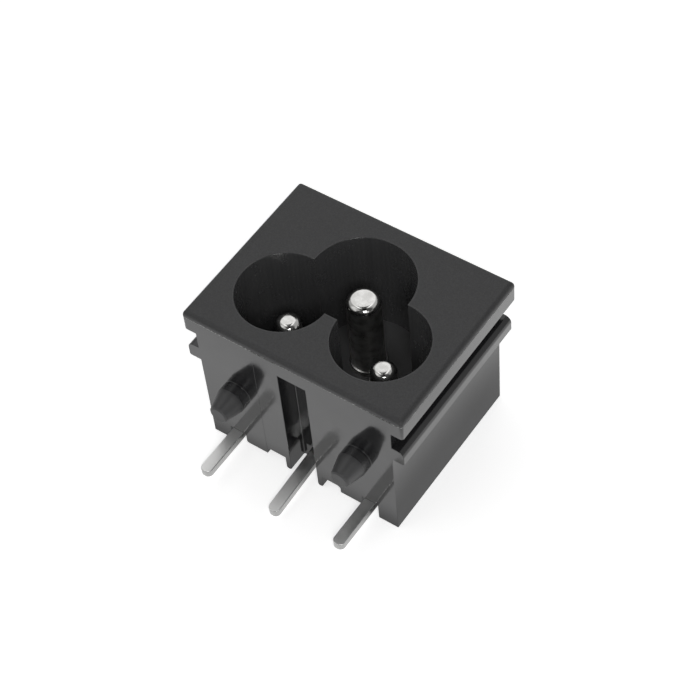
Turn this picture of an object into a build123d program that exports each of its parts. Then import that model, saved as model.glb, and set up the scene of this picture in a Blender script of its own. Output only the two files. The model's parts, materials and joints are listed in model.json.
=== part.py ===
"""Board-mounted appliance inlet with a three-pin cloverleaf socket, in millimetres.

The mating axis is +Z and the rear face lies at z = 0, with the origin in the middle
of the overall outline. X runs across the two current-carrying pins, and the printed
circuit board stands against the -Y side.
One black moulding holds three turned pins. Each pin is riveted at the back
through the eye of a flat tinned strip, and the strips leave through the board side.
"""

import os
from math import asin, degrees, radians, tan

from build123d import *

os.makedirs("parts", exist_ok=True)

# Housing, outer form
total_depth = 16.45
body_width = 19.9
body_height = 16.95
board_seat_y = -6.2
flange_width = 22.6
flange_height = 17.6
flange_thickness = 2.3
flange_corner = 0.9
flange_edge = 0.5
groove_gap = 1.95
shoulder_reach = 1.33
shoulder_thickness = 1.7
shoulder_crown = 0.65
shoulder_heel = 0.2
body_corner = 0.35

# Board side of the housing
relief_width = 8.0
relief_depth = 0.05
slot_width = 2.9
slot_depth = 2.07
slot_root = 0.12
slot_wall = 0.55
slot_wall_tip = 0.25
peg_spacing = 12.8
peg_below_face = 8.25
peg_radius = 1.38
peg_tip_radius = 0.88
peg_straight = 1.0
peg_length = 2.9
peg_tip_chamfer = 0.12

# Cloverleaf socket
socket_depth = 11.4
pin_pitch = 10.0
live_pin_height = 6.35
earth_pin_height = 10.85
ear_radius = 4.33
earth_lobe_radius = 4.83
web_above_ears = 0.08

# Pins
live_pin_radius = 1.19
earth_pin_radius = 1.55
live_pin_recess = 4.06
earth_pin_recess = 2.63
pin_nose_round = 0.42
pin_nose_crown = 0.22
collar_step = 0.2
collar_height = 0.45
seat_step = 0.22
tenon_step = 0.35
rivet_overlap = 0.5
rivet_height = 0.6
rivet_chamfer = 0.35
bore_clearance = 0.03

# Terminal strips
rear_wall = 3.1
strip_thickness = 0.8
leg_width = 1.15
leg_spacing = 14.36
leg_reach = 5.2
leg_nose = 0.5
eye_radius = 2.1
web_width = 2.1
web_fillet = 0.35
earth_bend_below_pin = 4.95
earth_droop = 5.1

# Rear pockets
pocket_clearance = 0.3
leg_room = 0.26
pocket_corner = 0.4
relief_pocket_depth = 1.55
relief_pocket_fillet = 0.4
terrace_depth = 0.75
terrace_corner = 0.25
earth_channel_room = 0.5
core_width = 2.8
core_height = 3.6
core_depth = 9.0
core_from_side = 1.6
core_from_top = 1.7

# Places worked out from the sizes above
body_top_y = board_seat_y + body_height
flange_under_z = total_depth - flange_thickness
shoulder_top_z = flange_under_z - groove_gap
socket_floor_z = total_depth - socket_depth
strip_seat_z = socket_floor_z - rear_wall
strip_back_z = strip_seat_z - strip_thickness
live_x = pin_pitch / 2
live_y = board_seat_y + live_pin_height
earth_y = board_seat_y + earth_pin_height
slot_floor_y = board_seat_y + slot_depth
leg_x = leg_spacing / 2
leg_end_y = board_seat_y - leg_reach
channel_half = leg_width / 2 + leg_room
pocket_side_x = leg_x + channel_half
eye_pocket = eye_radius + pocket_clearance
pocket_board_side_y = live_y - eye_pocket
peg_z = total_depth - peg_below_face


def board_plane(y):
    """Plane parallel to the board at height y, drawn in X and Z, facing the board."""
    return Plane(origin=(0, y, 0), x_dir=(1, 0, 0), z_dir=(0, -1, 0))


# The housing is one moulding: flange, body, shoulders, socket, pegs and rear pockets
with BuildPart() as housing:
    with BuildSketch(Plane.XY.offset(flange_under_z)):
        with Locations((0, board_seat_y + flange_height / 2)):
            RectangleRounded(flange_width, flange_height, flange_corner)
    extrude(amount=flange_thickness)
    fillet(housing.faces().sort_by(Axis.Z)[-1].edges(), radius=flange_edge)

    with BuildSketch(Plane.XY):
        with Locations((0, board_seat_y + body_height / 2)):
            Rectangle(body_width, body_height)
        fillet(vertices().group_by(Axis.Y)[-1], radius=body_corner)
    extrude(amount=flange_under_z)

    # Shoulders stand behind the panel groove on both short sides
    with BuildSketch(board_plane(body_top_y)):
        with Locations((0, shoulder_top_z - shoulder_thickness / 2)):
            Rectangle(body_width + 2 * shoulder_reach, shoulder_thickness)
        fillet(vertices().group_by(Axis.Y)[-1], radius=shoulder_crown)
        fillet(vertices().group_by(Axis.Y)[0], radius=shoulder_heel)
    extrude(amount=body_height)

    # Pegs that locate in the board: a short cylinder, then a cone
    with BuildSketch(board_plane(board_seat_y)):
        with Locations((-peg_spacing / 2, peg_z), (peg_spacing / 2, peg_z)):
            Circle(peg_radius)
    extrude(amount=peg_straight)
    for peg_x in (-peg_spacing / 2, peg_spacing / 2):
        with BuildSketch(board_plane(board_seat_y - peg_straight)):
            with Locations((peg_x, peg_z)):
                Circle(peg_radius)
        with BuildSketch(board_plane(board_seat_y - peg_length)):
            with Locations((peg_x, peg_z)):
                Circle(peg_tip_radius)
        loft()
    chamfer(housing.faces().group_by(Axis.Y)[0].edges(), length=peg_tip_chamfer)

    # Cloverleaf socket: two ears and the earth lobe, with a flat web between the ears
    with BuildSketch(Plane.XY.offset(total_depth)):
        with Locations((0, earth_y)):
            Circle(earth_lobe_radius)
        with Locations((0, live_y - web_above_ears - earth_lobe_radius)):
            Rectangle(2 * earth_lobe_radius, 2 * earth_lobe_radius, mode=Mode.SUBTRACT)
        with Locations((-live_x, live_y), (live_x, live_y)):
            Circle(ear_radius)
    extrude(amount=-socket_depth, mode=Mode.SUBTRACT)

    # Shallow relief between the board seats, and the deep slot over the earth leg
    with BuildSketch(board_plane(board_seat_y)):
        with Locations((0, flange_under_z / 2)):
            Rectangle(relief_width, flange_under_z)
    extrude(amount=-relief_depth, mode=Mode.SUBTRACT)
    with BuildSketch(board_plane(board_seat_y)):
        with Locations((0, flange_under_z / 2)):
            Rectangle(slot_width, flange_under_z)
    extrude(amount=-slot_depth, mode=Mode.SUBTRACT)
    slot_roots = housing.edges().filter_by(Axis.Z).filter_by(
        lambda edge: abs(edge.center().Y - slot_floor_y) < 0.01 and abs(edge.center().X) < slot_width
    )
    fillet(slot_roots, radius=slot_root)

    # Rear pockets for the eyes and legs of the strips, cut up to the strip seat
    with BuildSketch(Plane.XY):
        with Locations((live_x, live_y)):
            Circle(eye_pocket)
        with Locations(((live_x + pocket_side_x) / 2, live_y)):
            Rectangle(pocket_side_x - live_x, 2 * eye_pocket)
        fillet(vertices().group_by(Axis.X)[-1].sort_by(Axis.Y)[-1], radius=pocket_corner)
        with Locations((leg_x, (board_seat_y + live_y) / 2)):
            Rectangle(2 * channel_half, live_pin_height)
        mirror(about=Plane.YZ)
        with Locations((0, earth_y)):
            Circle(eye_pocket)
        with Locations((0, (slot_floor_y + earth_y) / 2)):
            Rectangle(leg_width + 2 * earth_channel_room, earth_y - slot_floor_y)
    extrude(amount=strip_seat_z, mode=Mode.SUBTRACT)

    # Relief pockets beside the slot walls, and the terraces between them and the legs.
    # A terrace turns into its leg channel with a rounded corner.
    relief_half = relief_width / 2
    slot_wall_x = slot_width / 2 + slot_wall
    channel_x = leg_x - channel_half
    with BuildSketch(board_plane(board_seat_y)):
        with BuildLine():
            Polyline(
                (slot_wall_x, 0),
                (slot_wall_x, relief_pocket_depth),
                (relief_half, relief_pocket_depth),
                (relief_half, terrace_depth),
                (channel_x, terrace_depth),
                (channel_x, terrace_depth + 2 * terrace_corner),
                (leg_x, terrace_depth + 2 * terrace_corner),
                (leg_x, 0),
                close=True,
            )
        make_face()
        fillet(vertices().group_by(Axis.Y)[-1].sort_by(Axis.X)[-1], radius=relief_pocket_fillet)
        fillet(vertices().sort_by_distance((channel_x, terrace_depth))[0], radius=terrace_corner)
        mirror(about=Plane.YZ)
    extrude(amount=-(pocket_board_side_y - board_seat_y), mode=Mode.SUBTRACT)

    # The slot walls reach the rear face with rounded tips
    rear_edges = housing.edges().filter_by(Axis.Y).group_by(Axis.Z)[0]
    fillet(rear_edges.filter_by(lambda edge: abs(edge.center().X) < slot_wall_x + 0.01), radius=slot_wall_tip)

    # Cores behind the two top corners keep the wall even beside the earth lobe
    core_x = body_width / 2 - core_from_side - core_width / 2
    core_y = body_top_y - core_from_top - core_height / 2
    with BuildSketch(Plane.XY):
        with Locations((-core_x, core_y), (core_x, core_y)):
            RectangleRounded(core_width, core_height, pocket_corner)
    extrude(amount=core_depth, mode=Mode.SUBTRACT)

    # Bores that carry the pins through the rear wall
    with BuildSketch(Plane.XY.offset(socket_floor_z)):
        with Locations((-live_x, live_y), (live_x, live_y)):
            Circle(live_pin_radius - seat_step + bore_clearance)
        with Locations((0, earth_y)):
            Circle(earth_pin_radius - seat_step + bore_clearance)
    extrude(amount=-rear_wall, mode=Mode.SUBTRACT)

housing.part.label = "housing"
export_step(housing.part, "parts/housing.step")


def turned_pin(pin_x, pin_y, radius, recess):
    """A pin turned from the bar: rivet head, tenon, seat, collar, shank and crowned nose."""
    tenon = radius - tenon_step
    seat = radius - seat_step
    head = radius + rivet_overlap
    collar = radius + collar_step
    rivet_z = strip_back_z - rivet_height
    collar_z = socket_floor_z + collar_height
    nose_z = total_depth - recess
    crown_z = nose_z - pin_nose_crown
    crown_sphere = (radius**2 + pin_nose_crown**2) / (2 * pin_nose_crown)
    crown_angle = degrees(asin(radius / crown_sphere))
    with BuildPart() as pin:
        with BuildSketch(Plane(origin=(pin_x, pin_y, 0), x_dir=(1, 0, 0), z_dir=(0, -1, 0))):
            with BuildLine():
                Polyline(
                    (0, nose_z),
                    (0, rivet_z),
                    (head, rivet_z),
                    (head, strip_back_z),
                    (tenon, strip_back_z),
                    (tenon, strip_seat_z),
                    (seat, strip_seat_z),
                    (seat, socket_floor_z),
                    (collar, socket_floor_z),
                    (collar, collar_z),
                    (radius, collar_z),
                    (radius, crown_z),
                )
                CenterArc((0, nose_z - crown_sphere), crown_sphere, 90 - crown_angle, crown_angle)
            make_face()
            fillet(vertices().sort_by_distance((radius, crown_z))[0], radius=pin_nose_round)
            chamfer(vertices().sort_by_distance((head, rivet_z))[0], length=rivet_chamfer)
            chamfer(vertices().sort_by_distance((collar, collar_z))[0], length=collar_step / 2)
        revolve(axis=Axis((pin_x, pin_y, 0), (0, 0, 1)))
    return pin.part


# The two current-carrying pins are the same turned part
pins = {
    "line_pin": (-live_x, live_y, live_pin_radius, live_pin_recess),
    "neutral_pin": (live_x, live_y, live_pin_radius, live_pin_recess),
    "earth_pin": (0, earth_y, earth_pin_radius, earth_pin_recess),
}
for name, sizes in pins.items():
    pin_part = turned_pin(*sizes)
    pin_part.label = name
    export_step(pin_part, f"parts/{name}.step")


# Each current-carrying strip has an eye under its pin, a web and a leg set further out
live_tenon_hole = live_pin_radius - tenon_step + bore_clearance
for name, side in (("line_terminal", -1), ("neutral_terminal", 1)):
    with BuildPart() as terminal:
        with BuildSketch(Plane.XY.offset(strip_back_z)):
            with Locations((side * live_x, live_y)):
                Circle(eye_radius)
            with Locations((side * (live_x + leg_x + leg_width / 2) / 2, live_y)):
                Rectangle(leg_x + leg_width / 2 - live_x, web_width)
            with Locations((side * leg_x, (live_y + leg_end_y) / 2)):
                Rectangle(leg_width, live_y - leg_end_y)
            web_corner = (side * (leg_x - leg_width / 2), live_y - web_width / 2)
            fillet(vertices().sort_by_distance(web_corner)[0], radius=web_fillet)
            with Locations((side * live_x, live_y)):
                Circle(live_tenon_hole, mode=Mode.SUBTRACT)
        extrude(amount=strip_thickness)
        leg_tip = terminal.edges().filter_by(Axis.Z).group_by(Axis.Y)[0]
        fillet(leg_tip, radius=leg_nose)
    terminal.part.label = name
    export_step(terminal.part, f"parts/{name}.step")


# The earth strip runs straight out through the slot and droops a little on the way
earth_tenon_hole = earth_pin_radius - tenon_step + bore_clearance
bend_y = earth_y - earth_bend_below_pin
earth_leg_drop = (bend_y - leg_end_y) * tan(radians(earth_droop))
with BuildPart() as earth_terminal:
    with BuildSketch(Plane.XY.offset(strip_back_z)):
        with Locations((0, earth_y)):
            Circle(eye_radius)
        with Locations((0, (earth_y + bend_y) / 2)):
            Rectangle(leg_width, earth_y - bend_y)
        with Locations((0, earth_y)):
            Circle(earth_tenon_hole, mode=Mode.SUBTRACT)
    extrude(amount=strip_thickness)
    with BuildSketch(Plane.YZ):
        with BuildLine():
            Polyline(
                (bend_y, strip_back_z),
                (bend_y, strip_seat_z),
                (leg_end_y, strip_seat_z - earth_leg_drop),
                (leg_end_y, strip_back_z - earth_leg_drop),
                close=True,
            )
        make_face()
    extrude(amount=leg_width / 2, both=True)
    leg_tip = earth_terminal.edges().filter_by(Axis.Z).group_by(Axis.Y)[0]
    fillet(leg_tip, radius=leg_nose)
earth_terminal.part.label = "earth_terminal"
export_step(earth_terminal.part, "parts/earth_terminal.step")
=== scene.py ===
"""Looks of a board-mounted appliance inlet with a three-pin cloverleaf socket.

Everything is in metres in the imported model's frame: mating axis +Z, rear face at z = 0, and
the circuit board against the -Y side. The moulding and the solder strips keep their packed
form, with the sharp outer corners eased and a few corners and ends moved by some tenths of a
millimetre to where the photograph shows them. The turned pins are surfaces worked out here.
"""

import json
from math import cos, pi, radians, sin

import bmesh
import bpy
import numpy as np
from mathutils import Matrix, Vector


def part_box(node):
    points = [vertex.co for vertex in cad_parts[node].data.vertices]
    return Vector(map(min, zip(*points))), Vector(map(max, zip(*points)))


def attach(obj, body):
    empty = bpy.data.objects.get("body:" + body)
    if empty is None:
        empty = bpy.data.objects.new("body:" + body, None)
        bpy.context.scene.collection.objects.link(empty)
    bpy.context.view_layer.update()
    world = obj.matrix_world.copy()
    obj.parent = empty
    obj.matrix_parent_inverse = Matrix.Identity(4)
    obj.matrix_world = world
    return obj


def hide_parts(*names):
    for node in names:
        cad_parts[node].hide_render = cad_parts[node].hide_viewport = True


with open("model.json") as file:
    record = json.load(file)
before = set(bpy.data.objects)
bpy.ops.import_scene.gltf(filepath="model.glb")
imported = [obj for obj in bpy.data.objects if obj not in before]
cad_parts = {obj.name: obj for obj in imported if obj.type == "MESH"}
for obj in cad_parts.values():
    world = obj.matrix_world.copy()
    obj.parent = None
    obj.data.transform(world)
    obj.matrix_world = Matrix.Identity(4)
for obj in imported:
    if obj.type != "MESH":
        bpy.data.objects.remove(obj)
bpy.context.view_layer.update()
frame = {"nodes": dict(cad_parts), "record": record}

# Unit, tolerance, and the angles that tell flats, smooth faces and corners
MM = 0.001
TOUCH = 0.001 * MM
FLAT_ANGLE = radians(0.2)
SMOOTH_ANGLE = radians(35)
CORNER_ANGLE = radians(40)

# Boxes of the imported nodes, to a thousandth of a millimetre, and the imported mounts
housing_low, housing_high = np.round(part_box("housing"), 6)
live_pin_low, live_pin_high = np.round(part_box("neutral_pin"), 6)
_, earth_pin_high = np.round(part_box("earth_pin"), 6)
strip_low, strip_high = np.round(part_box("neutral_terminal"), 6)
mounts = {mount["name"]: mount for mount in frame["record"]["mounts"]}
peg = mounts["board_peg_neutral_side"]
live_contact = mounts["neutral_contact"]
earth_contact = mounts["earth_contact"]

# Places and sizes that they give
BOARD_SEAT_Y = mounts["board_seat"]["pos_m"][1]
FACE_Z = housing_high[2]
FLANGE_WIDTH = housing_high[0] - housing_low[0]
FLANGE_HEIGHT = housing_high[1] - BOARD_SEAT_Y
PEG_X, PEG_MIDDLE_Y, PEG_Z = peg["pos_m"]
PEG_RADIUS = peg["dims"]["r_mm"] * MM
PEG_CONE_Y = PEG_MIDDLE_Y - peg["dims"]["length_mm"] * MM / 2
PEG_TIP_Y = housing_low[1]
LIVE_X, LIVE_Y, _ = live_contact["pos_m"]
LIVE_PIN_RADIUS = live_contact["dims"]["r_mm"] * MM
EARTH_Y = earth_contact["pos_m"][1]
EARTH_PIN_RADIUS = earth_contact["dims"]["r_mm"] * MM
STRIP_SEAT_Z = strip_high[2]
STRIP_BACK_Z = strip_low[2]
LEG_END_Y = strip_low[1]
RIVET_BACK_Z = live_pin_low[2]
RIVET_OVERLAP = live_pin_high[0] - LIVE_X - LIVE_PIN_RADIUS

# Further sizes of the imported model
FLANGE_UNDER_Z = 14.15 * MM
FLANGE_CORNER = 0.9 * MM
FLANGE_EDGE = 0.5 * MM
BODY_WIDTH = 19.9 * MM
BODY_TOP_Y = 10.75 * MM
BODY_CORNER = 0.35 * MM
SOCKET_FLOOR_Z = 5.05 * MM
EAR_RADIUS = 4.33 * MM
EARTH_LOBE_RADIUS = 4.83 * MM
WEB_Y = 0.07 * MM
RELIEF_HALF = 4.0 * MM
RELIEF_DEPTH = 0.05 * MM
EARTH_DROOP = radians(5.1)

# Moulding as the photograph shows it: plan corners, body, relief, eased edges and parting line
FLANGE_WALL_CORNER = 0.28 * MM
FLANGE_RIM_CORNER = 0.05 * MM
BODY_TRUE_CORNER = 0.15 * MM
BODY_GROWTH = 0.125 * MM
RELIEF_TRUE_DEPTH = 0.02 * MM
CORNER_EASE = 0.05 * MM
RELIEF_EASE = 0.015 * MM
PARTING_Z = FACE_Z - 0.62 * MM

# Zones of the moulding in which edges are picked or left out
SLOT_SIDE_X = 1.6 * MM
RELIEF_SIDE_X = RELIEF_HALF + 0.02 * MM
RELIEF_ZONE_Y = BOARD_SEAT_Y + 0.15 * MM
POCKET_SIDE_X = 2.6 * MM
POCKET_BOTTOM_Y = -4.2 * MM
REAR_ZONE_Z = 2.0 * MM
ROUND_EDGE_X = 9.5 * MM
ROUND_EDGE_Z = FLANGE_UNDER_Z + 0.1 * MM

# Solder strips
STRIP_EASE = 0.07 * MM
LEG_END_ZONE_Y = LEG_END_Y + 0.9 * MM
LEG_CUT = 0.25 * MM

# Pins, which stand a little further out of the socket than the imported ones
PIN_GROWTH = 0.2 * MM
LIVE_PIN_TOP = live_pin_high[2] + PIN_GROWTH
EARTH_PIN_TOP = earth_pin_high[2] + PIN_GROWTH
LIVE_NOSE_ROUND = 0.68 * MM
EARTH_NOSE_ROUND = 0.62 * MM
NOSE_CROWN = 0.08 * MM
COLLAR_STEP = 0.2 * MM
COLLAR_HEIGHT = 0.45 * MM
SEAT_STEP = 0.22 * MM
TENON_STEP = 0.35 * MM
RIVET_ROUND = 0.4 * MM
PIN_COLUMNS = 128
ARC_STEPS = 12
CROWN_STEPS = 20

# Colours of the moulding
WALL_BLACK = (0.012, 0.012, 0.013)
GRAIN_BLACK = (0.033, 0.033, 0.034)
# Pegs and their cones: painted light, lighter than the walls for the light they catch, the cones most
PEG_PAINTED_LIGHT_BLACK = (0.024, 0.024, 0.025)
CONE_PAINTED_LIGHT_BLACK = (0.05, 0.05, 0.051)
# Inside of the socket: painted light, lifted far above the outer black to fill the deep socket, with
# lighter streaks on the walls
SOCKET_FLOOR_PAINTED_FILL = (0.075, 0.075, 0.076)
SOCKET_WALL_PAINTED_FILL = (0.08, 0.08, 0.081)
WALL_STREAK_PAINTED_FILL = (0.108, 0.108, 0.109)
FLASH_GREY = (0.34, 0.34, 0.34)

# Colours of the plating
NICKEL_SMEAR = (0.54, 0.535, 0.52)
NICKEL_BRIGHT = (0.70, 0.695, 0.68)
TIN_CLOUD = (0.72, 0.72, 0.715)
TIN_BRIGHT = (0.84, 0.84, 0.83)
TIN_SHEARED = (0.36, 0.36, 0.355)

# The photograph's camera
VIEW_AZIMUTH = radians(39.37)
VIEW_ELEVATION = radians(52.21)
VIEW_ROLL = radians(-6.22)
CAMERA_PLACE = Vector((67.68 * MM, -80.39 * MM, 147.12 * MM))
CAMERA_LENS = 101.96
CAMERA_SENSOR = 36.0
CAMERA_NEAR_CLIP = 0.005

# Studio: soft lights as place, size and radiance, all turned towards one point
FLOOR_HALF = 0.6
FLOOR_LIFT = 0.58
ROOM_RADIANCE = 0.55
LIGHT_TARGET = (0, 0, 0.01)
LIGHTS = {
    "front_right": ((0.28, -0.22, 0.24), 0.2, 0.9),
    "in_front": ((0.18, -0.2, 0.30), 0.1, 14.0),
    "front_left": ((-0.14, -0.17, 0.28), 0.24, 0.5),
}


def mesh_object(name, verts, faces):
    """Object at the origin with a mesh made of an array of points and a list of faces."""
    mesh = bpy.data.meshes.new(name)
    mesh.from_pydata(verts.tolist(), [], faces)
    mesh.update()
    piece = bpy.data.objects.new(name, mesh)
    bpy.context.scene.collection.objects.link(piece)
    return piece


def ring_faces(rows, columns):
    """Quads between the rows of a grid whose columns close into rings."""
    row, column = np.meshgrid(np.arange(rows - 1), np.arange(columns), indexing="ij")
    next_column = (column + 1) % columns
    quads = np.stack([
        row * columns + column,
        row * columns + next_column,
        (row + 1) * columns + next_column,
        (row + 1) * columns + column,
    ], axis=-1)
    return quads.reshape(-1, 4)


def rounded_profile(corners, radii, steps):
    """Points along a polyline whose corners are replaced by tangent arcs.

    At a corner with half angle h between its two runs, an arc of radius r starts r / tan(h)
    before the corner and has its centre r / sin(h) along the bisector.
    """
    corners = np.asarray(corners, float)
    points = [corners[:1]]
    for before, corner, after, radius in zip(corners[:-2], corners[1:-1], corners[2:], radii):
        if radius == 0:
            points.append(corner[None])
            continue
        back = (before - corner) / np.linalg.norm(before - corner)
        ahead = (after - corner) / np.linalg.norm(after - corner)
        half = np.arccos(np.clip(back @ ahead, -1, 1)) / 2
        bisector = (back + ahead) / np.linalg.norm(back + ahead)
        centre = corner + bisector * radius / sin(half)
        start = corner + back * radius / np.tan(half) - centre
        end = corner + ahead * radius / np.tan(half) - centre
        turn = np.arccos(np.clip(start @ end / radius**2, -1, 1))
        share = np.linspace(0, 1, steps)[:, None]
        arc = (np.sin((1 - share) * turn) * start + np.sin(share * turn) * end) / np.sin(turn)
        points.append(centre + arc)
    points.append(corners[-1:])
    return np.concatenate(points)


def turned_piece(name, axis_x, axis_y, profile, columns):
    """Surface of revolution: the point (r, z) of the profile at angle a is (r cos a, r sin a, z).

    The profile starts and ends on the axis, and each end closes in a fan. Its UV map holds the
    share of a turn around, and the length along the profile in millimetres.
    """
    inner = profile[1:-1]
    angle = np.arange(columns) * 2 * pi / columns
    x = axis_x + inner[:, :1] * np.cos(angle)
    y = axis_y + inner[:, :1] * np.sin(angle)
    z = np.repeat(inner[:, 1:], columns, axis=1)
    grid = np.stack([x, y, z], axis=-1).reshape(-1, 3)
    ends = np.array([[axis_x, axis_y, profile[0, 1]], [axis_x, axis_y, profile[-1, 1]]])
    rows = len(inner)
    faces = ring_faces(rows, columns).tolist()
    first, last = rows * columns, rows * columns + 1
    column = np.arange(columns)
    next_column = (column + 1) % columns
    faces += np.stack([np.full(columns, first), next_column, column], axis=1).tolist()
    top = (rows - 1) * columns
    faces += np.stack([np.full(columns, last), top + column, top + next_column], axis=1).tolist()
    piece = mesh_object(name, np.concatenate([grid, ends]), faces)

    length = np.concatenate([[0], np.cumsum(np.linalg.norm(np.diff(profile, axis=0), axis=1))]) / MM
    along = np.concatenate([np.repeat(length[1:-1], columns), length[:1], length[-1:]])
    mesh = piece.data
    corner_vertex = np.zeros(len(mesh.loops), np.int32)
    mesh.loops.foreach_get("vertex_index", corner_vertex)
    turn = np.concatenate([np.tile(np.arange(columns) / columns, rows), [0, 0]])
    uv = np.stack([turn[corner_vertex], along[corner_vertex]], axis=1)
    layer = mesh.uv_layers.new(name="turning")
    layer.data.foreach_set("uv", uv.astype(np.float32).ravel())
    smooth_by_angle(mesh)
    return piece


def smooth_by_angle(mesh):
    """Smooth shading that stays sharp where two faces meet at more than the smooth angle."""
    mesh.shade_smooth()
    mesh.set_sharp_from_angle(angle=SMOOTH_ANGLE)


def pin_profile(radius, top, nose_round):
    """Half section of a turned pin, from the rivet head's middle to the middle of the nose.

    The nose is a shallow crown, part of a circle through the nose's corner and its middle.
    """
    collar_z = SOCKET_FLOOR_Z + COLLAR_HEIGHT
    head = radius + RIVET_OVERLAP
    collar = radius + COLLAR_STEP
    tenon = radius - TENON_STEP
    seat = radius - SEAT_STEP
    crown_z = top - NOSE_CROWN
    crown_radius = (radius**2 + NOSE_CROWN**2) / (2 * NOSE_CROWN)
    corners = [
        (0, RIVET_BACK_Z),
        (head, RIVET_BACK_Z),
        (head, STRIP_BACK_Z),
        (tenon, STRIP_BACK_Z),
        (tenon, STRIP_SEAT_Z),
        (seat, STRIP_SEAT_Z),
        (seat, SOCKET_FLOOR_Z),
        (collar, SOCKET_FLOOR_Z),
        (collar, collar_z),
        (radius, collar_z),
        (radius, crown_z),
    ]
    rim = radius - nose_round
    crown_x = np.linspace(rim, 0, CROWN_STEPS)
    crown_height = top - crown_radius + np.sqrt(crown_radius**2 - crown_x**2)
    crown = np.stack([crown_x, crown_height], axis=1)
    corners += [tuple(crown[0])]
    radii = [RIVET_ROUND, 0, 0, 0, 0, 0, 0, COLLAR_STEP / 2, COLLAR_STEP / 3, nose_round]
    body = rounded_profile(corners, radii, ARC_STEPS)
    return np.concatenate([body, crown[1:]])


def tighter_corner(u, v, old, wall, rim):
    """Moves the points of a rounded plan corner on to a tighter one. Returns the new u and v.

    A point lies at (u, v) from the centre of the corner's arc, at the distance d. The radius of
    the new arc is wall where d is the old radius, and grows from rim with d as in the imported
    model. The point keeps its angle on the new arc, whose centre moves out along the diagonal,
    so that the straight sides only get longer.
    """
    distance = np.hypot(u, v)
    inside = (u > -TOUCH) & (v > -TOUCH) & (distance > 10 * TOUCH)
    distance = np.where(inside, distance, 1)
    start = old - FLANGE_EDGE
    radius = np.clip(rim + (wall - rim) * (distance - start) / (old - start), rim, wall)
    new_u = distance - radius + radius * u / distance
    new_v = distance - radius + radius * v / distance
    return np.where(inside, new_u, u), np.where(inside, new_v, v)


def trued_moulding(points):
    """The moulding's points with the real part's tight plan corners, wider body and thin relief."""
    x, y, z = points.T
    middle_y = BOARD_SEAT_Y + FLANGE_HEIGHT / 2
    side_x, across = np.sign(x), np.abs(x)
    side_y, reach = np.sign(y - middle_y), np.abs(y - middle_y)

    # Corners of the flange, seen along the mating axis
    flange_x = FLANGE_WIDTH / 2 - FLANGE_CORNER
    flange_y = FLANGE_HEIGHT / 2 - FLANGE_CORNER
    flange = (z > FLANGE_UNDER_Z - TOUCH) & (across > flange_x - TOUCH)
    u, v = tighter_corner(
        across - flange_x, reach - flange_y, FLANGE_CORNER, FLANGE_WALL_CORNER, FLANGE_RIM_CORNER
    )
    new_x = np.where(flange, flange_x + u, across)
    new_y = np.where(flange, middle_y + side_y * (flange_y + v), y)

    # Sides and upper corners of the body
    body_x = BODY_WIDTH / 2 - BODY_CORNER
    body_y = BODY_TOP_Y - BODY_CORNER
    body = (z < FLANGE_UNDER_Z + TOUCH) & (across > body_x - TOUCH) & (across < BODY_WIDTH / 2 + TOUCH)
    u, v = tighter_corner(across - body_x, y - body_y, BODY_CORNER, BODY_TRUE_CORNER, BODY_TRUE_CORNER)
    new_x = np.where(body, body_x + u + BODY_GROWTH, new_x)
    new_y = np.where(body, body_y + v, new_y)

    relief = np.abs(new_y - BOARD_SEAT_Y - RELIEF_DEPTH) < TOUCH
    new_y = np.where(relief, BOARD_SEAT_Y + RELIEF_TRUE_DEPTH, new_y)
    return np.stack([side_x * new_x, new_y, z], axis=1)


def trued_earth_leg(points):
    """The earth strip's points with the leg's end drawn back along its slope."""
    x, y, z = points.T
    cut = np.where(y < LEG_END_ZONE_Y, LEG_CUT, 0)
    return np.stack([x, y + cut, z + cut * np.tan(EARTH_DROOP)], axis=1)


def eased_copy(node, name, passes, trued=None):
    """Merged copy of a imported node, its flat regions made whole and its corners eased.

    Each pass is a width and a test that picks the edges to ease by it. The copy's points first
    go through the function trued, if one is given.
    """
    mesh = frame["nodes"][node].data.copy()
    if trued:
        points = np.zeros(3 * len(mesh.vertices), np.float32)
        mesh.vertices.foreach_get("co", points)
        mesh.vertices.foreach_set("co", trued(points.reshape(-1, 3)).astype(np.float32).ravel())
    for attribute in ("custom_normal", "sharp_edge", "sharp_face"):
        if attribute in mesh.attributes:
            mesh.attributes.remove(mesh.attributes[attribute])
    shape = bmesh.new()
    shape.from_mesh(mesh)
    bmesh.ops.remove_doubles(shape, verts=shape.verts, dist=TOUCH / 2)
    bmesh.ops.dissolve_limit(
        shape,
        angle_limit=FLAT_ANGLE,
        verts=shape.verts,
        edges=shape.edges,
        use_dissolve_boundaries=False,
    )
    for ease, picked in passes:
        chosen = [edge for edge in shape.edges if len(edge.link_faces) == 2 and picked(edge)]
        bmesh.ops.bevel(
            shape,
            geom=chosen,
            offset=ease,
            offset_type="OFFSET",
            segments=3,
            profile=0.5,
            affect="EDGES",
            clamp_overlap=False,
        )
    shape.to_mesh(mesh)
    shape.free()
    piece = bpy.data.objects.new(name, mesh)
    bpy.context.scene.collection.objects.link(piece)
    smooth_by_angle(mesh)
    shading = piece.modifiers.new("even shading", "WEIGHTED_NORMAL")
    shading.mode = "FACE_AREA"
    shading.keep_sharp = True
    return piece


def outer_corner(edge):
    """True on an edge whose two faces turn away from each other by more than the corner angle."""
    return edge.is_convex and edge.calc_face_angle() > CORNER_ANGLE


def middle_of(edge):
    """The middle of an edge, with its distance from the part's middle plane as x."""
    place = (edge.verts[0].co + edge.verts[1].co) / 2
    return abs(place.x), place.y, place.z


def relief_step(edge):
    """True on the outer corner of the shallow relief in the board side."""
    across, y, z = middle_of(edge)
    beside_slot = SLOT_SIDE_X < across < RELIEF_SIDE_X
    return beside_slot and y < RELIEF_ZONE_Y and z > REAR_ZONE_Z and outer_corner(edge)


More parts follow.
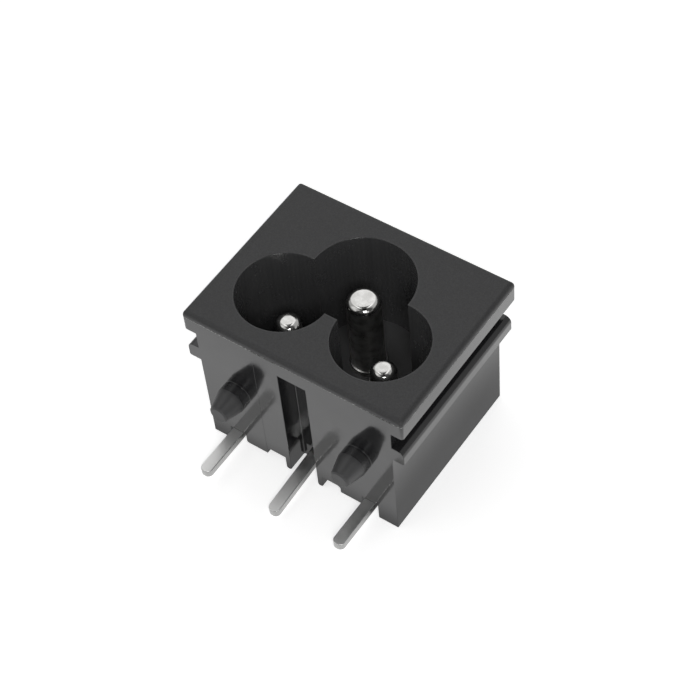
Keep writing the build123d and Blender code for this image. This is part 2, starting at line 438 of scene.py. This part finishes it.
def peg_foot(edge):
    """True on the circle where a peg stands on the board side."""
    for corner in edge.verts:
        away = Vector((abs(corner.co.x) - PEG_X, corner.co.z - PEG_Z)).length
        if abs(corner.co.y - BOARD_SEAT_Y) > TOUCH or abs(away - PEG_RADIUS) > 10 * TOUCH:
            return False
    return True


def moulding_corner(edge):
    """True on the moulding's corners, apart from the relief and the earth strip's pocket.

    The flange's outer edge is left out as well, because it is already round.
    """
    across, y, z = middle_of(edge)
    pocket = across < POCKET_SIDE_X and y > POCKET_BOTTOM_Y and z < REAR_ZONE_Z
    round_edge = across > ROUND_EDGE_X and z > ROUND_EDGE_Z
    return (outer_corner(edge) and not (pocket or round_edge or relief_step(edge))) or peg_foot(edge)


def add_node(tree, kind, settings=None, **values):
    """Adds a shader node, sets its properties, then the values of its named sockets."""
    node = tree.nodes.new(kind)
    for key, value in (settings or {}).items():
        setattr(node, key, value)
    for key, value in values.items():
        node.inputs[key.replace("_", " ")].default_value = value
    return node


def feed(tree, socket, value):
    """Gives a socket a plain number, or links another socket to it."""
    if isinstance(value, (int, float)):
        socket.default_value = value
    else:
        tree.links.new(value, socket)


def math_node(tree, operation, first, second=None):
    """Math node on sockets or plain numbers. Returns its output socket."""
    node = add_node(tree, "ShaderNodeMath", {"operation": operation})
    feed(tree, node.inputs[0], first)
    if second is not None:
        feed(tree, node.inputs[1], second)
    return node.outputs[0]


def product(tree, first, *others):
    """Product of two or more sockets or plain numbers."""
    for other in others:
        first = math_node(tree, "MULTIPLY", first, other)
    return first


def total(tree, first, *others):
    """Sum of two or more sockets or plain numbers."""
    for other in others:
        first = math_node(tree, "ADD", first, other)
    return first


def ramp(tree, factor, low, high, low_value, high_value):
    """Maps a factor from low..high to low_value..high_value, smoothly and clamped."""
    node = add_node(tree, "ShaderNodeMapRange", {"interpolation_type": "SMOOTHSTEP"})
    tree.links.new(factor, node.inputs["Value"])
    node.inputs["From Min"].default_value = low
    node.inputs["From Max"].default_value = high
    node.inputs["To Min"].default_value = low_value
    node.inputs["To Max"].default_value = high_value
    return node.outputs["Result"]


def axes_of(tree, vector):
    """The x, y and z of a vector socket."""
    node = tree.nodes.new("ShaderNodeSeparateXYZ")
    tree.links.new(vector, node.inputs[0])
    return node.outputs


def noise(tree, vector, size, detail, roughness=0.5):
    """Noise whose lumps are about the given size in the vector's units. Returns its factor."""
    node = add_node(tree, "ShaderNodeTexNoise", Scale=1.0 / size, Detail=detail, Roughness=roughness)
    tree.links.new(vector, node.inputs["Vector"])
    return node.outputs[0]


def stretched(tree, vector, scale):
    """The vector scaled per axis by a Mapping node."""
    node = tree.nodes.new("ShaderNodeMapping")
    node.inputs["Scale"].default_value = scale
    tree.links.new(vector, node.inputs["Vector"])
    return node.outputs["Vector"]


def mix_value(tree, factor, first, second):
    """Mixes two numbers or sockets by a factor socket."""
    node = add_node(tree, "ShaderNodeMix", {"data_type": "FLOAT"})
    tree.links.new(factor, node.inputs[0])
    feed(tree, node.inputs[2], first)
    feed(tree, node.inputs[3], second)
    return node.outputs[0]


def mix_colour(tree, factor, first, second):
    """Mixes two plain colours or colour sockets by a factor socket."""
    node = add_node(tree, "ShaderNodeMix", {"data_type": "RGBA"})
    tree.links.new(factor, node.inputs[0])
    for slot, value in ((6, first), (7, second)):
        if isinstance(value, tuple):
            node.inputs[slot].default_value = (*value, 1)
        else:
            tree.links.new(value, node.inputs[slot])
    return node.outputs[2]


def start_material(name):
    """Material with a Principled shader and Object coordinates. Returns them all."""
    material = bpy.data.materials.new(name)
    material.use_nodes = True
    tree = material.node_tree
    tree.nodes.clear()
    output = tree.nodes.new("ShaderNodeOutputMaterial")
    shader = tree.nodes.new("ShaderNodeBsdfPrincipled")
    tree.links.new(shader.outputs[0], output.inputs["Surface"])
    place = tree.nodes.new("ShaderNodeTexCoord").outputs["Object"]
    return material, tree, shader, place


def bump(tree, height, distance, strength, normal=None):
    """Bump node for a height socket that runs from 0 to 1 over the given distance."""
    node = add_node(tree, "ShaderNodeBump", Strength=strength, Distance=distance)
    tree.links.new(height, node.inputs["Height"])
    if normal is not None:
        tree.links.new(normal, node.inputs["Normal"])
    return node.outputs["Normal"]


def distance_from(tree, x, y, centre_x, centre_y):
    """Distance in the XY plane from a fixed point."""
    dx = math_node(tree, "SUBTRACT", x, centre_x)
    dy = math_node(tree, "SUBTRACT", y, centre_y)
    square = total(tree, product(tree, dx, dx), product(tree, dy, dy))
    return math_node(tree, "SQRT", square)


def beyond_mouth(tree, x, y):
    """How far a place lies outside the cloverleaf mouth of the socket, less than 0 inside it.

    The mouth is the two ears and the lobe, which stops at the web between the ears.
    """
    ear = distance_from(tree, math_node(tree, "ABSOLUTE", x), y, LIVE_X, LIVE_Y)
    ear_gap = math_node(tree, "SUBTRACT", ear, EAR_RADIUS)
    lobe = distance_from(tree, x, y, 0.0, EARTH_Y)
    lobe_gap = math_node(tree, "SUBTRACT", lobe, EARTH_LOBE_RADIUS)
    web_gap = math_node(tree, "SUBTRACT", WEB_Y, y)
    return math_node(tree, "MINIMUM", ear_gap, math_node(tree, "MAXIMUM", lobe_gap, web_gap))


def black_moulding():
    """Black thermoplastic: spark-textured mating face, polished walls, faint flow and rubs."""
    material, tree, shader, place = start_material("black_moulding")
    x, y, z = axes_of(tree, place)

    # The texture covers the face down to the parting line and stops at the socket's mouth
    mouth = beyond_mouth(tree, x, y)
    off_mouth = ramp(tree, mouth, 0.06 * MM, 0.12 * MM, 0.0, 1.0)
    above_line = ramp(tree, z, PARTING_Z - 0.03 * MM, PARTING_Z + 0.03 * MM, 0.0, 1.0)
    textured = product(tree, off_mouth, above_line)

    cloud = noise(tree, place, 3.5 * MM, 3.0)
    grain = noise(tree, place, 0.11 * MM, 3.0, 0.6)
    fine_grain = noise(tree, place, 0.045 * MM, 2.0)
    flow = ramp(tree, cloud, 0.3, 0.7, 0.0, 0.3)
    speckle = ramp(tree, grain, 0.35, 0.7, 0.4, 1.0)
    outside = mix_colour(tree, mix_value(tree, textured, flow, speckle), WALL_BLACK, GRAIN_BLACK)
    on_peg = ramp(tree, y, BOARD_SEAT_Y - 0.3 * MM, BOARD_SEAT_Y - 0.1 * MM, 1.0, 0.0)
    on_cone = ramp(tree, y, PEG_CONE_Y - 0.05 * MM, PEG_CONE_Y + 0.05 * MM, 1.0, 0.0)
    # The pegs are painted lighter than the walls and their cones lighter still: painted light
    outside = mix_colour(tree, on_peg, outside, PEG_PAINTED_LIGHT_BLACK)
    outside = mix_colour(tree, on_cone, outside, CONE_PAINTED_LIGHT_BLACK)

    # Inside the socket the surface is duller, and its colour is painted light: lifted far above the outer
    # black to fill the deep, dim socket, with lighter vertical streaks down the walls and a slightly
    # darker floor
    in_socket = ramp(tree, mouth, -0.06 * MM, 0.06 * MM, 1.0, 0.0)
    vertical_streaks = noise(tree, stretched(tree, place, (1.0, 1.0, 0.07)), 0.9 * MM, 3.0)
    inner_wall = mix_colour(tree, vertical_streaks, SOCKET_WALL_PAINTED_FILL, WALL_STREAK_PAINTED_FILL)
    above_floor = ramp(tree, z, SOCKET_FLOOR_Z + 0.01 * MM, SOCKET_FLOOR_Z + 0.05 * MM, 0.0, 1.0)
    inside = mix_colour(tree, above_floor, SOCKET_FLOOR_PAINTED_FILL, inner_wall)
    moulded = mix_colour(tree, in_socket, outside, inside)

    # Pale crumbs of flash sit on the parting line
    off_line = math_node(tree, "ABSOLUTE", math_node(tree, "SUBTRACT", z, PARTING_Z))
    line = product(tree, ramp(tree, off_line, 0.02 * MM, 0.07 * MM, 1.0, 0.0), off_mouth)
    crumbs = ramp(tree, noise(tree, place, 0.2 * MM, 2.0), 0.47, 0.56, 0.0, 1.0)
    patches = ramp(tree, noise(tree, place, 3.0 * MM, 2.0), 0.4, 0.6, 0.25, 1.0)
    flash = product(tree, line, crumbs, patches)
    tree.links.new(mix_colour(tree, flash, moulded, FLASH_GREY), shader.inputs["Base Color"])

    # The pegs are a little duller than the walls, and their tips most of all
    smudge = noise(tree, place, 1.6 * MM, 4.0, 0.6)
    polished = ramp(tree, smudge, 0.35, 0.75, 0.09, 0.17)
    peg = product(tree, total(tree, on_peg, on_cone), 0.14)
    tip = ramp(tree, y, PEG_TIP_Y + 0.1 * MM, PEG_TIP_Y + 0.3 * MM, 0.2, 0.0)
    dull = ramp(tree, smudge, 0.35, 0.75, 0.30, 0.42)
    matte = ramp(tree, fine_grain, 0.3, 0.7, 0.42, 0.6)
    smooth_part = mix_value(tree, in_socket, total(tree, polished, peg, tip), dull)
    tree.links.new(mix_value(tree, textured, smooth_part, matte), shader.inputs["Roughness"])
    shader.inputs["IOR"].default_value = 1.54

    # Shallow waves and rubs of the polish, the raised parting line and the spark texture
    wave = noise(tree, place, 2.4 * MM, 1.0)
    rub = noise(tree, stretched(tree, place, (1.0, 1.0, 0.06)), 0.07 * MM, 2.0)
    polish = total(tree, wave, product(tree, rub, 0.03))
    spark = total(tree, product(tree, grain, 0.65), product(tree, fine_grain, 0.35))
    smooth_normal = bump(tree, polish, 0.012 * MM, 0.8)
    seam_normal = bump(tree, line, 0.05 * MM, 1.0, smooth_normal)
    spark_normal = bump(tree, product(tree, spark, textured), 0.012 * MM, 0.9, seam_normal)
    tree.links.new(spark_normal, shader.inputs["Normal"])
    return material


def nickel_plate():
    """Nickel over turned brass: bright on the nose, satin on the shank, with the tool's fine rings."""
    material, tree, shader, place = start_material("nickel_plate")
    turning = add_node(tree, "ShaderNodeUVMap", {"uv_map": "turning"}).outputs[0]
    ring = noise(tree, stretched(tree, turning, (0.6, 26.0, 1.0)), 1.0, 3.0)
    cloud = noise(tree, place, 0.9 * MM, 3.0)
    smear = ramp(tree, cloud, 0.35, 0.65, 0.0, 1.0)
    tree.links.new(mix_colour(tree, smear, NICKEL_SMEAR, NICKEL_BRIGHT), shader.inputs["Base Color"])
    shader.inputs["Metallic"].default_value = 1.0
    facing = axes_of(tree, tree.nodes.new("ShaderNodeNewGeometry").outputs["Normal"])
    shank_rough = ramp(tree, facing["Z"], 0.05, 0.3, 0.2, 0.0)
    cloud_rough = ramp(tree, cloud, 0.3, 0.7, 0.06, 0.13)
    ring_rough = ramp(tree, ring, 0.3, 0.7, 0.0, 0.05)
    tree.links.new(total(tree, cloud_rough, ring_rough, shank_rough), shader.inputs["Roughness"])
    tree.links.new(bump(tree, ring, 0.0015 * MM, 0.6), shader.inputs["Normal"])
    return material


def tin_plate():
    """Tin over rolled brass strip: satin flats with cross lines, darker sheared sides."""
    material, tree, shader, place = start_material("tin_plate")
    facing = axes_of(tree, tree.nodes.new("ShaderNodeNewGeometry").outputs["Normal"])
    sheared = ramp(tree, math_node(tree, "ABSOLUTE", facing["Z"]), 0.5, 0.85, 1.0, 0.0)
    cloud = noise(tree, place, 0.7 * MM, 4.0, 0.6)
    across = noise(tree, stretched(tree, place, (0.06, 1.0, 0.2)), 0.09 * MM, 3.0)
    vertical_streaks = noise(tree, stretched(tree, place, (1.0, 1.0, 0.05)), 0.06 * MM, 2.0)
    flat_colour = mix_colour(tree, cloud, TIN_CLOUD, TIN_BRIGHT)
    tree.links.new(mix_colour(tree, sheared, flat_colour, TIN_SHEARED), shader.inputs["Base Color"])
    shader.inputs["Metallic"].default_value = 1.0
    flat_rough = ramp(tree, cloud, 0.3, 0.7, 0.30, 0.37)
    side_rough = ramp(tree, vertical_streaks, 0.3, 0.7, 0.22, 0.38)
    tree.links.new(mix_value(tree, sheared, flat_rough, side_rough), shader.inputs["Roughness"])
    lines = mix_value(tree, sheared, across, vertical_streaks)
    tree.links.new(bump(tree, lines, 0.004 * MM, 0.6), shader.inputs["Normal"])
    return material


def dress(piece, material, node):
    """Gives a piece its material and body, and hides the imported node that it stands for."""
    piece.data.materials.clear()
    piece.data.materials.append(material)
    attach(piece, "root")
    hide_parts(node)


def stage_floor():
    """Wide pale floor. The camera sees it lifted to white, with the part's shadow left on it.

    What gloss sees of it is a glow with a painted shadow of the part: dimmer close to the part, brighter
    farther out along the floor.
    """
    half = FLOOR_HALF
    corner = np.array([[-half, -half, 0], [half, -half, 0], [half, half, 0], [-half, half, 0]])
    floor = mesh_object("floor", corner, [[0, 1, 2, 3]])
    material = bpy.data.materials.new("pale_floor")
    material.use_nodes = True
    tree = material.node_tree
    tree.nodes.clear()
    output = tree.nodes.new("ShaderNodeOutputMaterial")
    path = tree.nodes.new("ShaderNodeLightPath")

    diffuse = add_node(tree, "ShaderNodeBsdfDiffuse", Color=(0.8, 0.8, 0.8, 1))
    lift = add_node(tree, "ShaderNodeEmission", Color=(1, 1, 1, 1))
    tree.links.new(product(tree, path.outputs["Is Camera Ray"], FLOOR_LIFT), lift.inputs["Strength"])
    seen = tree.nodes.new("ShaderNodeAddShader")
    tree.links.new(diffuse.outputs[0], seen.inputs[0])
    tree.links.new(lift.outputs[0], seen.inputs[1])

    x, y, _ = axes_of(tree, tree.nodes.new("ShaderNodeTexCoord").outputs["Object"])
    # Painted shadow: the glow that gloss sees is dimmed close to the part, most beside its side
    in_front = ramp(tree, y, -12 * MM, -7 * MM, 1.2, 1.02)
    near_side_painted_shadow = ramp(tree, x, 11 * MM, 16 * MM, 0.5, 1.2)
    beside_painted_shadow = total(tree, near_side_painted_shadow, ramp(tree, y, 8 * MM, 18 * MM, 0.0, 0.2))
    behind_board_side = ramp(tree, y, -8 * MM, -6 * MM, 0.0, 1.0)
    mirrored = add_node(tree, "ShaderNodeEmission", Color=(1, 1, 1, 1))
    tree.links.new(mix_value(tree, behind_board_side, in_front, beside_painted_shadow), mirrored.inputs["Strength"])

    gloss = math_node(tree, "MAXIMUM", path.outputs["Is Glossy Ray"], path.outputs["Is Transmission Ray"])
    by_ray = tree.nodes.new("ShaderNodeMixShader")
    tree.links.new(gloss, by_ray.inputs[0])
    tree.links.new(seen.outputs[0], by_ray.inputs[1])
    tree.links.new(mirrored.outputs[0], by_ray.inputs[2])
    tree.links.new(by_ray.outputs[0], output.inputs["Surface"])
    floor.data.materials.append(material)


def stage_world():
    """Soft pale room, white where the camera looks past the floor.

    A wide window leans over the part from behind and a brighter lamp hangs closer to the zenith,
    with a dark post below it. The room is darker in front, where the photographer stands, and
    low on both sides behind the part. So the pins' noses are bright, with dark rims and a notch.
    """
    world = bpy.data.worlds.new("studio")
    bpy.context.scene.world = world
    world.use_nodes = True
    tree = world.node_tree
    tree.nodes.clear()
    output = tree.nodes.new("ShaderNodeOutputWorld")
    back = add_node(tree, "ShaderNodeBackground", Color=(1, 1, 1, 1))
    direction = tree.nodes.new("ShaderNodeTexCoord").outputs["Generated"]
    height = axes_of(tree, direction)["Z"]

    def along(fixed):
        """How much the direction points along a fixed one: the cosine of the angle between."""
        node = add_node(tree, "ShaderNodeVectorMath", {"operation": "DOT_PRODUCT"})
        tree.links.new(direction, node.inputs[0])
        node.inputs[1].default_value = fixed
        return node.outputs["Value"]

    def patch(fixed, outer, inner, value):
        """Round patch about a fixed direction: value within the inner angle, 0 past the outer."""
        return ramp(tree, along(fixed), cos(radians(outer)), cos(radians(inner)), 0.0, value)

    away = Vector((-sin(VIEW_AZIMUTH), cos(VIEW_AZIMUTH), 0))
    zenith = Vector((0, 0, 1))
    camera_side = cos(VIEW_ELEVATION) * -away + sin(VIEW_ELEVATION) * zenith
    behind = along(away)

    photographer = patch(camera_side, 48.7, 34.9, 0.85)
    low = ramp(tree, height, 0.28, 0.50, 1.0, 0.0)
    to_the_back = ramp(tree, behind, -0.2, 0.3, 0.0, 0.8)
    not_straight_behind = ramp(tree, behind, 0.68, 0.85, 1.0, 0.0)
    dark = math_node(tree, "MAXIMUM", photographer, product(tree, low, to_the_back, not_straight_behind))
    room = product(tree, math_node(tree, "SUBTRACT", 1.0, dark), ROOM_RADIANCE)

    window_lean, lamp_lean = radians(37.3), radians(20)
    window = patch(sin(window_lean) * away + cos(window_lean) * zenith, 26.0, 19.0, 0.6)
    lamp = patch(sin(lamp_lean) * away + cos(lamp_lean) * zenith, 15.4, 12.0, 1.15)
    room = total(tree, room, math_node(tree, "MAXIMUM", window, lamp))

    sideways = math_node(tree, "ABSOLUTE", along(away.cross(zenith)))
    narrow = ramp(tree, sideways, 0.09, 0.13, 1.0, 0.0)
    post_end = ramp(tree, behind, 0.49, 0.55, 1.0, 0.0)
    post = product(tree, narrow, post_end, ramp(tree, height, 0.6, 0.7, 0.0, 0.95))
    room = product(tree, room, math_node(tree, "SUBTRACT", 1.0, post))

    seen = tree.nodes.new("ShaderNodeLightPath").outputs["Is Camera Ray"]
    tree.links.new(mix_value(tree, seen, room, 1.0), back.inputs["Strength"])
    tree.links.new(back.outputs[0], output.inputs["Surface"])


def soft_light(name, place, size, radiance):
    """Square area light at a place, turned towards the part, with the given radiance."""
    light = bpy.data.lights.new(name, "AREA")
    light.shape = "SQUARE"
    light.size = size
    light.energy = radiance * pi * size**2
    lamp = bpy.data.objects.new(name, light)
    bpy.context.scene.collection.objects.link(lamp)
    lamp.location = place
    towards = Vector(LIGHT_TARGET) - Vector(place)
    lamp.rotation_euler = towards.to_track_quat("-Z", "Y").to_euler()


def photo_camera():
    """Camera turned by azimuth, elevation and roll, as the photograph was taken."""
    a, e, roll = VIEW_AZIMUTH, VIEW_ELEVATION, VIEW_ROLL
    back = Vector((sin(a) * cos(e), -cos(a) * cos(e), sin(e)))
    level_right = Vector((cos(a), sin(a), 0))
    level_up = back.cross(level_right)
    right = cos(roll) * level_right + sin(roll) * level_up
    up = back.cross(right)
    data = bpy.data.cameras.new("photo_camera")
    data.lens = CAMERA_LENS
    data.sensor_width = CAMERA_SENSOR
    data.clip_start = CAMERA_NEAR_CLIP
    camera = bpy.data.objects.new("photo_camera", data)
    bpy.context.scene.collection.objects.link(camera)
    turn = Matrix((right, up, back)).transposed().to_4x4()
    camera.matrix_world = Matrix.Translation(CAMERA_PLACE) @ turn
    bpy.context.scene.camera = camera


# Moulding
edge_passes = [(CORNER_EASE, moulding_corner), (RELIEF_EASE, relief_step)]
housing = eased_copy("housing", "moulding", edge_passes, trued_moulding)
dress(housing, black_moulding(), "housing")

# Pins
nickel = nickel_plate()
PINS = {
    "line_pin": (-LIVE_X, LIVE_Y, LIVE_PIN_RADIUS, LIVE_PIN_TOP, LIVE_NOSE_ROUND),
    "neutral_pin": (LIVE_X, LIVE_Y, LIVE_PIN_RADIUS, LIVE_PIN_TOP, LIVE_NOSE_ROUND),
    "earth_pin": (0.0, EARTH_Y, EARTH_PIN_RADIUS, EARTH_PIN_TOP, EARTH_NOSE_ROUND),
}
for node, (pin_x, pin_y, pin_radius, pin_top, nose_round) in PINS.items():
    profile = pin_profile(pin_radius, pin_top, nose_round)
    pin = turned_piece("turned_" + node, pin_x, pin_y, profile, PIN_COLUMNS)
    dress(pin, nickel, node)

# Solder strips
tin = tin_plate()
STRIPS = {"line_terminal": None, "neutral_terminal": None, "earth_terminal": trued_earth_leg}
for node, trued in STRIPS.items():
    strip = eased_copy(node, "stamped_" + node, [(STRIP_EASE, outer_corner)], trued)
    dress(strip, tin, node)

# Stage
stage_floor()
stage_world()
for name, (place, size, radiance) in LIGHTS.items():
    soft_light(name, place, size, radiance)
photo_camera()
bpy.context.scene.view_settings.view_transform = "Standard"
